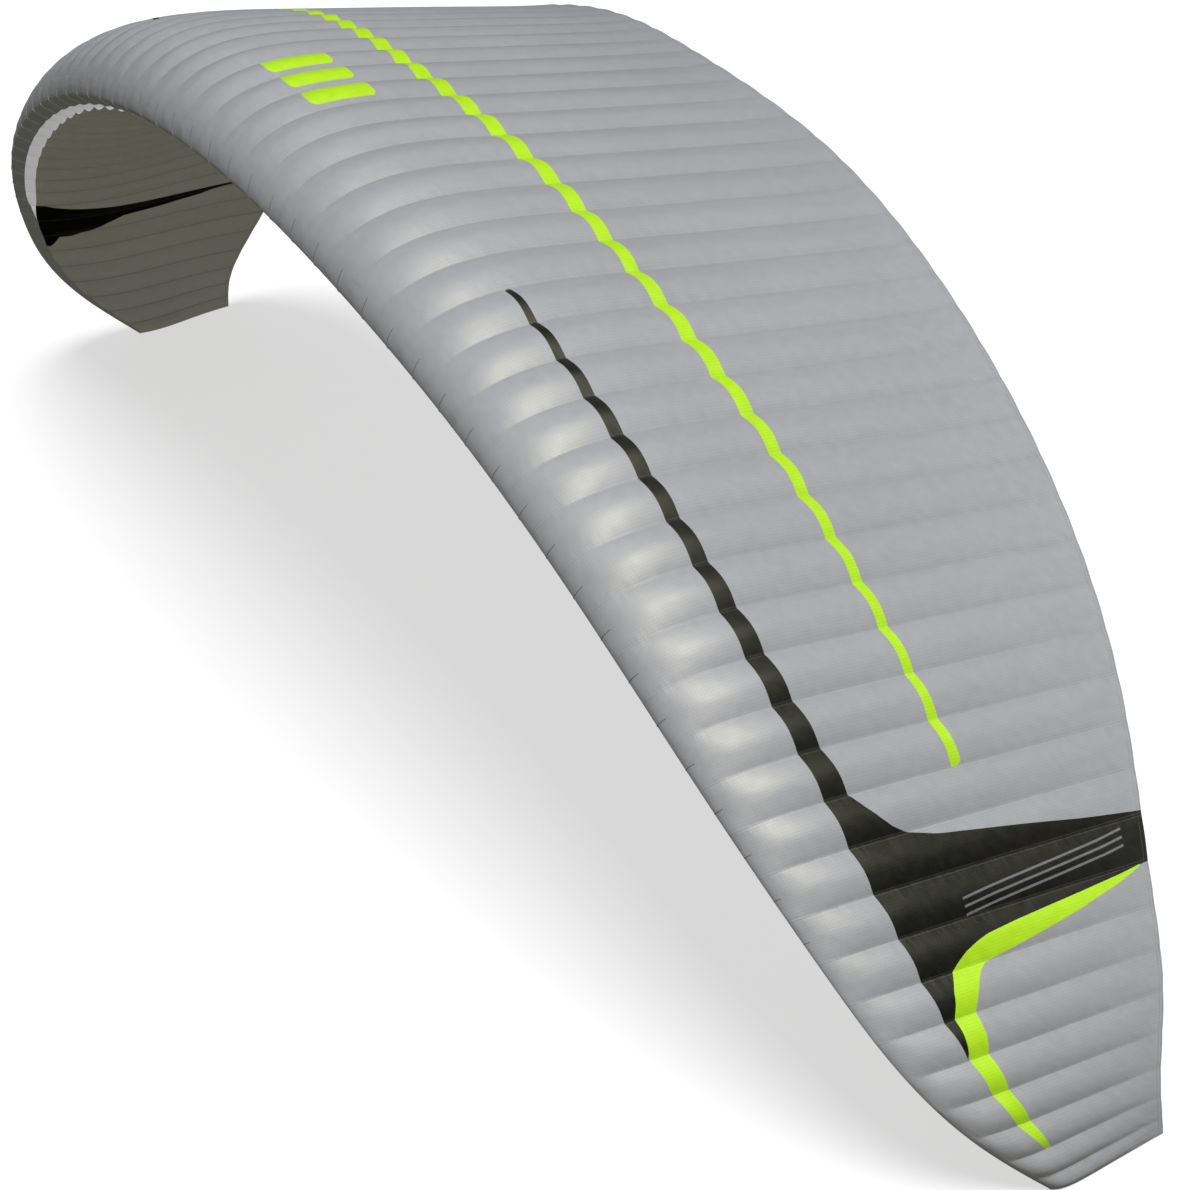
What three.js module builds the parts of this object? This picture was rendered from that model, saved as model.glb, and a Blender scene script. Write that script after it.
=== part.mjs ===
// A ram-air paraglider wing, inflated: an arch of 63 cells that stands on its two tips.
// Millimetres, +X along the span, the nose towards -Y, +Z up. The origin is the middle of the footprint.
//
// A point of the cloth is found from two numbers. "seam" counts cells from the middle of the wing, so the
// ribs stand at seam = -31.5, -30.5 ... 31.5. "round" runs round the profile: 1 at the trailing edge on
// the upper side, 0 at the nose and -1 at the trailing edge on the lower side. Its square is the share
// of the chord.
import * as THREE from "three";

// Driving sizes.
const FLAT_SPAN = 11500;
const CELLS = 63;
const SHEET = 2; // thickness of each skin
const RIB_SHEET = 1.5;
const END_PLATE = 3; // the closing panel under each tip
const GAP = 0.3; // between pieces that are sewn together
const RIB_GAP = 0.4; // between a rib and the inner faces of the skins
const PITCH = 5.5; // degrees nose up, which brings the weight over the tips
const TAIL_HALF = 2.3; // half the depth of the trailing edge
const TWIST_AXIS = 0.3; // the share of the chord about which a section twists

// The half wing, a row for each section: share of the half span, lean of the rib from upright in degrees,
// where its nose and its tail lie, twist in degrees and depth of the profile against the middle one.
const SECTIONS = [
  { share: 0.0, lean: 0, nose: 0, tail: 2387, twist: 0, depth: 1 },
  { share: 0.18, lean: 11.2, nose: 23, tail: 2440, twist: 0.2, depth: 0.98 },
  { share: 0.36, lean: 21.4, nose: 100, tail: 2427, twist: 0.7, depth: 0.927 },
  { share: 0.53, lean: 31.7, nose: 202, tail: 2362, twist: 1.4, depth: 0.857 },
  { share: 0.7, lean: 42.8, nose: 362, tail: 2209, twist: 2.2, depth: 0.62 },
  { share: 0.82, lean: 52.3, nose: 561, tail: 2038, twist: 2.5, depth: 0.39 },
  { share: 0.9, lean: 62.2, nose: 766, tail: 1940, twist: 2.4, depth: 0.391 },
  { share: 0.96, lean: 74.7, nose: 1030, tail: 1848, twist: 2.1, depth: 0.485 },
  { share: 1.0, lean: 86.4, nose: 1277, tail: 1839, twist: 1.7, depth: 0.586 },
];

// Fullness of the profile from nose to tail, as the weights of a Bernstein curve.
const UPPER_FULLNESS = [0.375, 0.333, 0.183, 0.164, 0.186, 0.071];
const LOWER_FULLNESS = [0.141, 0.289, 0.165, -0.009, -0.064];

// The cells grow narrower towards the tips, the last few quickly.
const NARROWING = { amount: 0.545, power: 5 };
const TIP_NARROWING = { amount: 0.192, power: 24 };

// How far the cloth of a cell stands out between its ribs, as a share of the cell's width.
const UPPER_BILLOW = 0.14;
const LOWER_BILLOW = 0.1;
const TAIL_BILLOW = 0.15; // share of the billow left at the trailing edge

// The billow dies away towards the nose: none at "none", all of it at "all", round the profile.
const UPPER_FADE = { none: 0.05, all: 0.42 };
const LOWER_FADE = { none: 0.1, all: 0.3 };

// The intakes: a slot in each cell under the nose, between two lips, which close at the last open cell.
const UPPER_LIP = -0.18;
const LOWER_LIP = -0.25;
const CLOSED_LIP = -0.22;
const LIPS_PARALLEL_TO = 21.5;
const LAST_OPEN_SEAM = 23.5;

// The end of each wing is drawn down to its level end plate over the last cells.
const SETTLE_FROM = 27.5;

// Rows of points along a profile, and columns across a cell.
const UPPER_ROWS = [1, 0.95, 0.83, 0.7, 0.56, 0.42, 0.29, 0.17, 0.06, -0.06];
const LOWER_ROWS = [-0.38, -0.52, -0.68, -0.84, -0.95, -1];
const UPPER_STEPS = 3;
const LOWER_STEPS = 2;

// The skins are made up in sections, which meet at these seams.
const JOINTS = [-31.5, -18.5, -6.5, 6.5, 18.5, 31.5];

const CLOTH = { color: 0xa9aaac, roughness: 0.6, metalness: 0 };
const RIB_CLOTH = { color: 0xc4c4c6, roughness: 0.7, metalness: 0 };

const HALF_CELLS = CELLS / 2;
const HALF_SPAN = FLAT_SPAN / 2;
const RADIANS = Math.PI / 180;
const NUDGE = 1e-3; // in cells or round the profile, to find directions on the surface
const LAST_STEP = 0.05; // in cells, to find the way that the wing runs at its tip

// A natural cubic spline through points with rising x.
function spline(xs, ys) {
  const last = xs.length - 1;
  const bend = new Array(last + 1).fill(0);
  const scratch = new Array(last + 1).fill(0);
  for (let i = 1; i < last; i++) {
    const share = (xs[i] - xs[i - 1]) / (xs[i + 1] - xs[i - 1]);
    const pivot = share * bend[i - 1] + 2;
    const after = (ys[i + 1] - ys[i]) / (xs[i + 1] - xs[i]);
    const before = (ys[i] - ys[i - 1]) / (xs[i] - xs[i - 1]);
    bend[i] = (share - 1) / pivot;
    scratch[i] =
      ((6 * (after - before)) / (xs[i + 1] - xs[i - 1]) - share * scratch[i - 1]) / pivot;
  }
  for (let i = last - 1; i >= 0; i--) bend[i] = bend[i] * bend[i + 1] + scratch[i];
  return (x) => {
    let i = 0;
    while (i < last - 1 && x > xs[i + 1]) i++;
    const width = xs[i + 1] - xs[i];
    const a = (xs[i + 1] - x) / width;
    const b = 1 - a;
    const curve = (a ** 3 - a) * bend[i] + (b ** 3 - b) * bend[i + 1];
    return a * ys[i] + b * ys[i + 1] + (curve * width ** 2) / 6;
  };
}

// A column of SECTIONS as a function of the share of the half span, on both halves of the wing.
function alongSpan(column) {
  const mirror = column === "lean" ? -1 : 1;
  const left = SECTIONS.slice(1).reverse();
  const xs = [...left.map((row) => -row.share), ...SECTIONS.map((row) => row.share)];
  const ys = [...left.map((row) => mirror * row[column]), ...SECTIONS.map((row) => row[column])];
  return spline(xs, ys);
}

const leanAt = alongSpan("lean");
const noseAt = alongSpan("nose");
const tailAt = alongSpan("tail");
const twistAt = alongSpan("twist");
const depthAt = alongSpan("depth");

// The share of the half span at which a seam lies.
function shareOfSeam(seam) {
  const along = Math.abs(seam) / HALF_CELLS;
  const lost = (cells) => {
    const full = NARROWING.amount * cells ** (NARROWING.power + 1);
    const tip = TIP_NARROWING.amount * cells ** (TIP_NARROWING.power + 1);
    return full / (NARROWING.power + 1) + tip / (TIP_NARROWING.power + 1);
  };
  return (Math.sign(seam) * (along - lost(along))) / (1 - lost(1));
}

// The arch: the lean added up along the span, in short straight steps.
const ARCH_STEPS = 400;
const ARCH = [{ x: 0, z: 0 }];
for (let i = 1; i <= ARCH_STEPS; i++) {
  const lean = leanAt((i - 0.5) / ARCH_STEPS) * RADIANS;
  const step = HALF_SPAN / ARCH_STEPS;
  const from = ARCH[i - 1];
  ARCH.push({ x: from.x + Math.cos(lean) * step, z: from.z - Math.sin(lean) * step });
}

function archPoint(share) {
  const at = Math.abs(share) * ARCH_STEPS;
  const i = Math.min(Math.floor(at), ARCH_STEPS - 1);
  const from = ARCH[i];
  const to = ARCH[i + 1];
  const part = at - i;
  const x = from.x + (to.x - from.x) * part;
  return { x: Math.sign(share) * x, z: from.z + (to.z - from.z) * part };
}

function fullness(weights, chordShare) {
  const order = weights.length - 1;
  let sum = 0;
  let ways = 1;
  weights.forEach((weight, i) => {
    sum += weight * ways * chordShare ** i * (1 - chordShare) ** (order - i);
    ways = (ways * (order - i)) / (i + 1);
  });
  return sum;
}

// The smooth wing before it is settled on its tips.
function flyingPoint(seam, round) {
  const share = shareOfSeam(seam);
  const lean = leanAt(share) * RADIANS;
  const twist = twistAt(share) * RADIANS;
  const nose = noseAt(share);
  const chord = tailAt(share) - nose;
  const chordShare = round * round;
  const side = round >= 0 ? 1 : -1;
  const weights = round >= 0 ? UPPER_FULLNESS : LOWER_FULLNESS;
  const bulge = fullness(weights, chordShare) * Math.abs(round) * (1 - chordShare);
  const height = side * (bulge * chord * depthAt(share) + TAIL_HALF * chordShare);
  const along = (chordShare - TWIST_AXIS) * chord;
  const y = nose + TWIST_AXIS * chord + along * Math.cos(twist) + height * Math.sin(twist);
  const out = height * Math.cos(twist) - along * Math.sin(twist);
  const arch = archPoint(share);
  const point = new THREE.Vector3(arch.x + out * Math.sin(lean), y, arch.z + out * Math.cos(lean));
  return point.applyAxisAngle(new THREE.Vector3(1, 0, 0), -PITCH * RADIANS);
}

const FLOOR = (flyingPoint(HALF_CELLS, 0).z + flyingPoint(HALF_CELLS, 1).z) / 2;
const PLATE_TOP = END_PLATE + GAP;

// The smooth wing, its tips drawn down along the span to the top of their end plates.
function smoothPoint(seam, round) {
  const point = flyingPoint(seam, round);
  point.z -= FLOOR;
  const side = Math.sign(seam);
  const part = THREE.MathUtils.smoothstep(Math.abs(seam), SETTLE_FROM, HALF_CELLS);
  if (part > 0) {
    const end = flyingPoint(side * HALF_CELLS, round);
    const way = end.clone().sub(flyingPoint(side * (HALF_CELLS - LAST_STEP), round));
    way.multiplyScalar((end.z - FLOOR - PLATE_TOP) / -way.z);
    point.addScaledVector(way, part);
  }
  return point;
}

function outward(seam, round) {
  const span = smoothPoint(seam + NUDGE, round).sub(smoothPoint(seam - NUDGE, round));
  const before = smoothPoint(seam, Math.max(round - NUDGE, -1));
  const after = smoothPoint(seam, Math.min(round + NUDGE, 1));
  return after.sub(before).cross(span).normalize().negate();
}

// The outer face of the cloth: the smooth wing with the billow of each cell.
function clothPoint(seam, round) {
  const cell = Math.round(seam);
  const across = seam - cell + 0.5;
  const width = smoothPoint(cell + 0.5, round).distanceTo(smoothPoint(cell - 0.5, round));
  const above = UPPER_BILLOW * THREE.MathUtils.smoothstep(round, UPPER_FADE.none, UPPER_FADE.all);
  const below = LOWER_BILLOW * THREE.MathUtils.smoothstep(-round, LOWER_FADE.none, LOWER_FADE.all);
  const billow = above + below;
  const taper = THREE.MathUtils.lerp(1, TAIL_BILLOW, round ** 6);
  const rise = billow * taper * width * Math.sin(Math.PI * across);
  return smoothPoint(seam, round).addScaledVector(outward(seam, round), rise);
}

// The edge of each lip at a seam, in steps round the profile. They close up at the last open seam.
function lip(seam, open, side) {
  const closing = THREE.MathUtils.smoothstep(Math.abs(seam), LIPS_PARALLEL_TO, LAST_OPEN_SEAM);
  const share = shareOfSeam(seam);
  const chord = tailAt(share) - noseAt(share);
  const seamGap = GAP / (2 * Math.abs(CLOSED_LIP) * chord);
  return THREE.MathUtils.lerp(open, CLOSED_LIP + side * seamGap, closing);
}
const upperLip = (seam) => lip(seam, UPPER_LIP, 1);
const lowerLip = (seam) => lip(seam, LOWER_LIP, -1);

// A closed mesh from a grid of outer points and the matching grid of inner points.
function sheetGeometry(outer, inner) {
  const rows = outer.length;
  const columns = outer[0].length;
  const points = [...outer.flat(), ...inner.flat()];
  const at = (layer, row, column) => layer * rows * columns + row * columns + column;
  const faces = [];
  const quad = (a, b, c, d) => faces.push(a, d, c, a, c, b);
  for (let r = 0; r < rows - 1; r++) {
    for (let c = 0; c < columns - 1; c++) {
      quad(at(0, r, c), at(0, r, c + 1), at(0, r + 1, c + 1), at(0, r + 1, c));
      quad(at(1, r, c), at(1, r + 1, c), at(1, r + 1, c + 1), at(1, r, c + 1));
    }
  }
  for (let c = 0; c < columns - 1; c++) {
    quad(at(0, 0, c), at(1, 0, c), at(1, 0, c + 1), at(0, 0, c + 1));
    quad(at(0, rows - 1, c + 1), at(1, rows - 1, c + 1), at(1, rows - 1, c), at(0, rows - 1, c));
  }
  for (let r = 0; r < rows - 1; r++) {
    quad(at(0, r + 1, 0), at(1, r + 1, 0), at(1, r, 0), at(0, r, 0));
    quad(at(0, r, columns - 1), at(1, r, columns - 1), at(1, r + 1, columns - 1), at(0, r + 1, columns - 1));
  }
  return fromFaces(points, faces);
}

function fromFaces(points, faces) {
  const geometry = new THREE.BufferGeometry();
  geometry.setAttribute(
    "position",
    new THREE.Float32BufferAttribute(points.flatMap((point) => point.toArray()), 3),
  );
  geometry.setIndex(faces);
  return geometry;
}

function namedMesh(name, geometry, look) {
  const mesh = new THREE.Mesh(geometry, new THREE.MeshStandardMaterial(look));
  mesh.name = name;
  return mesh;
}

// One section of a skin between two seams. "rowsAt" gives its rows round the profile at a seam.
function skin(name, from, to, steps, rowsAt) {
  const count = Math.round((to - from) * steps);
  const seams = [];
  for (let i = 0; i <= count; i++) seams.push(from + i / steps);
  const gapInCells = GAP / 2 / smoothPoint(from, 0.5).distanceTo(smoothPoint(from + 1, 0.5));
  if (Math.abs(from) < HALF_CELLS) seams[0] += gapInCells;
  if (Math.abs(to) < HALF_CELLS) seams[count] -= gapInCells;
  const rows = rowsAt(0).length;
  const outer = [];
  const inner = [];
  for (let r = 0; r < rows; r++) {
    const out = seams.map((seam) => clothPoint(seam, rowsAt(seam)[r]));
    const back = seams.map((seam, i) =>
      out[i].clone().addScaledVector(outward(seam, rowsAt(seam)[r]), -SHEET),
    );
    seams.forEach((seam, i) => {
      if (Math.abs(seam) < HALF_CELLS) return;
      out[i].z = PLATE_TOP;
      back[i].z = PLATE_TOP;
    });
    outer.push(out);
    inner.push(back);
  }
  return namedMesh(name, sheetGeometry(outer, inner), CLOTH);
}

const upperRowsAt = (seam) => [...UPPER_ROWS, upperLip(seam)];
const lowerRowsAt = (seam) => [lowerLip(seam), ...LOWER_ROWS];

// A flat plate from an outline: its points on one face, and the same points moved by "through".
function plateGeometry(outline, through) {
  const back = outline.map((point) => point.clone().add(through));
  const count = outline.length;
  const centre = new THREE.Vector3();
  outline.forEach((point) => centre.addScaledVector(point, 1 / count));
  const across = outline[0].clone().sub(outline[Math.floor(count / 2)]).normalize();
  const up = through.clone().normalize().cross(across);
  const flat = outline.map(
    (point) => new THREE.Vector2(point.clone().sub(centre).dot(across), point.clone().sub(centre).dot(up)),
  );
  const triangles = THREE.ShapeUtils.triangulateShape(flat, []);
  const faces = [];
  const turned = THREE.ShapeUtils.isClockWise(flat);
  const add = (a, b, c) => (turned ? faces.push(a, c, b) : faces.push(a, b, c));
  triangles.forEach(([a, b, c]) => {
    const clockwise = THREE.ShapeUtils.isClockWise([flat[a], flat[b], flat[c]]);
    const [p, q] = clockwise === turned ? [b, c] : [c, b];
    add(a, q, p);
    add(a + count, p + count, q + count);
  });
  for (let i = 0; i < count; i++) {
    const j = (i + 1) % count;
    add(i, j, j + count);
    add(i, j + count, i + count);
  }
  return fromFaces([...outline, ...back], faces);
}

// A rib stands inside the skins at its seam, clear of both. It ends short of the tail.
function rib(name, seam) {
  const upper = upperRowsAt(seam).slice(1);
  const lower = lowerRowsAt(seam).slice(0, -1);
  const inset = SHEET + RIB_GAP;
  const outline = [...upper, ...lower].map((round) =>
    smoothPoint(seam, round).addScaledVector(outward(seam, round), -inset),
  );
  const along = smoothPoint(seam + NUDGE, 0.4).sub(smoothPoint(seam - NUDGE, 0.4));
  const through = along.setComponent(1, 0).setLength(RIB_SHEET);
  outline.forEach((point) => point.addScaledVector(through, -0.5));
  return namedMesh(name, plateGeometry(outline, through), RIB_CLOTH);
}

// The closing panel under a tip, as wide as the end of both skins, flat on the floor.
function endPanel(name, side) {
  const rounds = [...upperRowsAt(HALF_CELLS), ...lowerRowsAt(HALF_CELLS)];
  const outline = rounds.map((round) => clothPoint(side * HALF_CELLS, round).setZ(0));
  const through = new THREE.Vector3(0, 0, END_PLATE);
  return namedMesh(name, plateGeometry(outline, through), CLOTH);
}

const wing = new THREE.Group();
for (let i = 0; i < JOINTS.length - 1; i++) {
  wing.add(skin(`upper_skin_${i + 1}`, JOINTS[i], JOINTS[i + 1], UPPER_STEPS, upperRowsAt));
  wing.add(skin(`lower_skin_${i + 1}`, JOINTS[i], JOINTS[i + 1], LOWER_STEPS, lowerRowsAt));
}
const OPEN_RIBS = 2 * LAST_OPEN_SEAM + 1;
for (let i = 0; i < OPEN_RIBS; i++) {
  wing.add(rib(`rib_${String(i + 1).padStart(2, "0")}`, i - LAST_OPEN_SEAM));
}
wing.add(endPanel("tip_panel_left", -1));
wing.add(endPanel("tip_panel_right", 1));

// The origin goes to the middle of the footprint.
const box = new THREE.Box3().setFromObject(wing);
wing.position.y = -(box.min.y + box.max.y) / 2;

export default wing;
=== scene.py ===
"""Looks of the ram-air paraglider wing: its cloth, ribs, nose seams, floor, lights and camera.

Metres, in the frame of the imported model. The cloth follows the same rule as the solids: a point is found
from "seam", which counts cells from the middle of the wing (ribs at -31.5, -30.5 ... 31.5), and "turn",
which runs round the profile: 1 at the trailing edge on the upper side, 0 at the nose and -1 at the
trailing edge on the lower side. Its square is the share of the chord.
"""

import math

import bpy
import numpy as np
from mathutils import Matrix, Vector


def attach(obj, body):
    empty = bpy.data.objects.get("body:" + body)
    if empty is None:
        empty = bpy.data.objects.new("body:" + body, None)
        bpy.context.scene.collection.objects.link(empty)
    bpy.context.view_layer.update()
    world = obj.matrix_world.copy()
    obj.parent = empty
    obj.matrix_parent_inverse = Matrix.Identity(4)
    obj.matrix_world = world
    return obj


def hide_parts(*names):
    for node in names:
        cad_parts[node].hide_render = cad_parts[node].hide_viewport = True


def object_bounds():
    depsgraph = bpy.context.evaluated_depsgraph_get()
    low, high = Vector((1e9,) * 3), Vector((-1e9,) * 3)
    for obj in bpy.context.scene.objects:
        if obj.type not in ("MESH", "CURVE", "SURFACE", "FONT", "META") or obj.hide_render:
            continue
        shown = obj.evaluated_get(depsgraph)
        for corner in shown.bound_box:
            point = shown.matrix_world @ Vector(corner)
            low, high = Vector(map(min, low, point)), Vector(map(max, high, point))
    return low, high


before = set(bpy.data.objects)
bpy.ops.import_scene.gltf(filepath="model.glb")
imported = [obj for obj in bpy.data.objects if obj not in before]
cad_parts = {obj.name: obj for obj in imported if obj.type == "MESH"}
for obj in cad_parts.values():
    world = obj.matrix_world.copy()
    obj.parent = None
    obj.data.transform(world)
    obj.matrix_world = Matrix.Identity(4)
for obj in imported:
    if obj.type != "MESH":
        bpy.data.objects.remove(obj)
CAD_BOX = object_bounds()

# ---------------------------------------------------------------- driving sizes, as in the solids
FLAT_SPAN = 11.5
CELLS = 63
SHEET = 0.002
RIB_SHEET = 0.0015
END_PLATE = 0.003
GAP = 0.0003
RIB_GAP = 0.0004
PITCH = math.radians(5.5)
TAIL_HALF = 0.0023
TWIST_AXIS = 0.3

# The half wing: share of the half span, lean of the rib in degrees, place of its nose and of its tail,
# twist in degrees, and depth of the profile against the middle one. These rows, the two fullnesses and the
# two narrowings were solved by a least-squares fit to places marked in the photo, and then rounded.
SECTIONS = np.array([
    (0.00, 0.0, 0.000, 2.387, 0.0, 1.000),
    (0.18, 11.2, 0.023, 2.440, 0.2, 0.980),
    (0.36, 21.4, 0.100, 2.427, 0.7, 0.927),
    (0.53, 31.7, 0.202, 2.362, 1.4, 0.857),
    (0.70, 42.8, 0.362, 2.209, 2.2, 0.620),
    (0.82, 52.3, 0.561, 2.038, 2.5, 0.390),
    (0.90, 62.2, 0.766, 1.940, 2.4, 0.391),
    (0.96, 74.7, 1.030, 1.848, 2.1, 0.485),
    (1.00, 86.4, 1.277, 1.839, 1.7, 0.586),
])
UPPER_FULLNESS = (0.375, 0.333, 0.183, 0.164, 0.186, 0.071)
LOWER_FULLNESS = (0.141, 0.289, 0.165, -0.009, -0.064)
NARROWING = (0.545, 5)
TIP_NARROWING = (0.192, 24)
UPPER_BILLOW = 0.14
LOWER_BILLOW = 0.1
TAIL_BILLOW = 0.15
UPPER_FADE = (0.05, 0.42)  # the billow fades out towards the nose between these turns
LOWER_FADE = (0.1, 0.3)
# The lips of the intakes, as turns. They draw together between the two seams given.
UPPER_LIP = -0.18
LOWER_LIP = -0.25
CLOSED_LIP = -0.22
LIPS_PARALLEL_TO = 21.5
LAST_OPEN_SEAM = 23.5
SETTLE_FROM = 27.5  # from here on the tips are drawn down to their end plates
# The sections of the skins meet at these seams.
JOINTS = (-31.5, -18.5, -6.5, 6.5, 18.5, 31.5)

# ---------------------------------------------------------------- how finely the cloth is made
UPPER_COLUMNS = 14  # to a cell
UPPER_ROWS = 125
LOWER_COLUMNS = 10
LOWER_ROWS = 64
RIB_POINTS = 60

HALF_CELLS = CELLS / 2
HALF_SPAN = FLAT_SPAN / 2
PLATE_TOP = END_PLATE + GAP
NUDGE = 1e-3  # the step to either side for a slope
END_STEP = 0.05  # the same at the tip, in cells
TINY = 1e-9
HAIR = 1e-6  # seams closer than this are one seam
FAR = 1e9
FLAT = 1e-12  # an edge shorter than this has no direction


# ---------------------------------------------------------------- shape of the wing
def spline(xs, ys):
    """A natural cubic spline through points with rising x, for arrays."""
    count = len(xs)
    width = np.diff(xs)
    left = np.zeros((count, count))
    right = np.zeros(count)
    left[0, 0] = left[-1, -1] = 1
    for i in range(1, count - 1):
        left[i, i - 1] = width[i - 1]
        left[i, i] = 2 * (width[i - 1] + width[i])
        left[i, i + 1] = width[i]
        right[i] = 6 * ((ys[i + 1] - ys[i]) / width[i] - (ys[i] - ys[i - 1]) / width[i - 1])
    bend = np.linalg.solve(left, right)

    def value(x):
        i = np.clip(np.searchsorted(xs, x) - 1, 0, count - 2)
        a = (xs[i + 1] - x) / width[i]
        b = 1 - a
        curve = (a**3 - a) * bend[i] + (b**3 - b) * bend[i + 1]
        return a * ys[i] + b * ys[i + 1] + curve * width[i] ** 2 / 6

    return value


MIRROR = np.array([-1, -1, 1, 1, 1, 1])
WHOLE = np.vstack([(SECTIONS[1:] * MIRROR)[::-1], SECTIONS])
lean_at, nose_at, tail_at, twist_at, depth_at = [spline(WHOLE[:, 0], WHOLE[:, k]) for k in range(1, 6)]


def lost_width(along):
    """What narrowing takes off the width of the cells from the middle of the wing on."""
    return sum(a * along ** (p + 1) / (p + 1) for a, p in (NARROWING, TIP_NARROWING))


def share_of(seam):
    """The share of the half span at which a seam lies. The cells grow narrower towards the tips."""
    along = np.abs(seam) / HALF_CELLS
    return np.sign(seam) * (along - lost_width(along)) / (1 - lost_width(1.0))


ARCH_STEPS = 400
ARCH_SHARE = np.linspace(0, 1, ARCH_STEPS + 1)
ARCH_LEAN = np.radians(lean_at((ARCH_SHARE[1:] + ARCH_SHARE[:-1]) / 2))
ARCH_X = np.concatenate([[0], np.cumsum(np.cos(ARCH_LEAN))]) * HALF_SPAN / ARCH_STEPS
ARCH_Z = -np.concatenate([[0], np.cumsum(np.sin(ARCH_LEAN))]) * HALF_SPAN / ARCH_STEPS


def smoothstep(x, low, high):
    t = np.clip((x - low) / (high - low), 0, 1)
    return t * t * (3 - 2 * t)


def fullness(weights, x):
    """A Bernstein curve with the given weights."""
    order = len(weights) - 1
    return sum(w * math.comb(order, i) * x**i * (1 - x) ** (order - i) for i, w in enumerate(weights))


def chord_of(seam):
    share = share_of(seam)
    return tail_at(share) - nose_at(share)


def flying(seam, turn):
    """The smooth wing before it is settled on its tips."""
    seam, turn = np.broadcast_arrays(np.asarray(seam, float), np.asarray(turn, float))
    share = share_of(seam)
    lean = np.radians(lean_at(share))
    twist = np.radians(twist_at(share))
    nose = nose_at(share)
    chord = tail_at(share) - nose
    x = turn * turn
    full = np.where(turn >= 0, fullness(UPPER_FULLNESS, x), fullness(LOWER_FULLNESS, x))
    bulge = full * np.abs(turn) * (1 - x)
    height = np.where(turn >= 0, 1, -1) * (bulge * chord * depth_at(share) + TAIL_HALF * x)
    along = (x - TWIST_AXIS) * chord
    y = nose + TWIST_AXIS * chord + along * np.cos(twist) + height * np.sin(twist)
    out = height * np.cos(twist) - along * np.sin(twist)
    px = np.sign(share) * np.interp(np.abs(share), ARCH_SHARE, ARCH_X) + out * np.sin(lean)
    pz = np.interp(np.abs(share), ARCH_SHARE, ARCH_Z) + out * np.cos(lean)
    cos, sin = math.cos(-PITCH), math.sin(-PITCH)
    return np.stack([px, y * cos - pz * sin, y * sin + pz * cos], -1)


FLOOR = float(flying(HALF_CELLS, 0.0)[2] + flying(HALF_CELLS, 1.0)[2]) / 2


def smooth(seam, turn):
    """The smooth wing, its tips drawn down along the span to the top of their end plates."""
    seam, turn = np.broadcast_arrays(np.asarray(seam, float), np.asarray(turn, float))
    point = flying(seam, turn)
    point[..., 2] -= FLOOR
    side = np.sign(seam)
    part = smoothstep(np.abs(seam), SETTLE_FROM, HALF_CELLS)
    end = flying(side * HALF_CELLS, turn)
    way = end - flying(side * (HALF_CELLS - END_STEP), turn)
    fall = np.where(np.abs(way[..., 2]) < TINY, -TINY, way[..., 2])
    reach = (end[..., 2] - FLOOR - PLATE_TOP) / -fall
    return point + way * (reach * part)[..., None]


def outward(seam, turn):
    """The direction straight out of the smooth wing."""
    seam, turn = np.broadcast_arrays(np.asarray(seam, float), np.asarray(turn, float))
    span = smooth(seam + NUDGE, turn) - smooth(seam - NUDGE, turn)
    around = smooth(seam, np.minimum(turn + NUDGE, 1)) - smooth(seam, np.maximum(turn - NUDGE, -1))
    normal = -np.cross(around, span)
    return normal / np.linalg.norm(normal, axis=-1, keepdims=True)


def cloth(seam, turn, cell=None):
    """The outer face of the cloth: the smooth wing with the billow of each cell."""
    seam, turn = np.broadcast_arrays(np.asarray(seam, float), np.asarray(turn, float))
    cell = np.round(seam) if cell is None else cell
    across = seam - cell + 0.5
    width = np.linalg.norm(smooth(cell + 0.5, turn) - smooth(cell - 0.5, turn), axis=-1)
    above = UPPER_BILLOW * smoothstep(turn, *UPPER_FADE)
    billow = above + LOWER_BILLOW * smoothstep(-turn, *LOWER_FADE)
    taper = 1 + (TAIL_BILLOW - 1) * turn**6
    rise = billow * taper * width * np.sin(np.pi * across)
    return smooth(seam, turn) + outward(seam, turn) * rise[..., None]


def lip(seam, open_at, side):
    """The edge of a lip of the intakes. They close up at the last open seam."""
    closing = smoothstep(np.abs(seam), LIPS_PARALLEL_TO, LAST_OPEN_SEAM)
    shut = CLOSED_LIP + side * GAP / (2 * abs(CLOSED_LIP) * chord_of(seam))
    return open_at + (shut - open_at) * closing


# The solids' origin is the middle of their footprint, so the tail is brought to theirs.
TAIL_SEAMS = np.arange(-HALF_CELLS, HALF_CELLS + HAIR, 1 / 3)
SHIFT = np.array([0, CAD_BOX[1][1] - cloth(TAIL_SEAMS, 1.0)[:, 1].max(), 0])

# ---------------------------------------------------------------- layout of the colours
# Corners as (cells from the middle, share of the chord), the same on both halves. They were worked out
# through the same fit from places marked in the photo, and some were then extended to the edge of the cloth.
LIME_STRIPE = [
    (0, 0.3905), (5.5, 0.4047), (8.6, 0.4151), (10.6, 0.4245), (12.5, 0.4405), (15.5, 0.4671),
    (18.5, 0.4997), (20.5, 0.5249), (20.5, 0.5525), (18.5, 0.5215), (15.5, 0.4901), (12.5, 0.4675),
    (10.6, 0.4543), (8.6, 0.4407), (5.5, 0.4349), (0, 0.4211),
]
BLACK_STRIPE = [
    (8.5, 0.1791), (12.5, 0.1793), (14.5, 0.1831), (20.5, 0.1983), (23.5, 0.2106), (26.5, 0.2107),
    (26.3, 0.2203), (20.5, 0.2566), (16.5, 0.2209), (14.5, 0.2105), (12.5, 0.2047), (10.5, 0.1973),
    (8.5, 0.1907),
]
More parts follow.
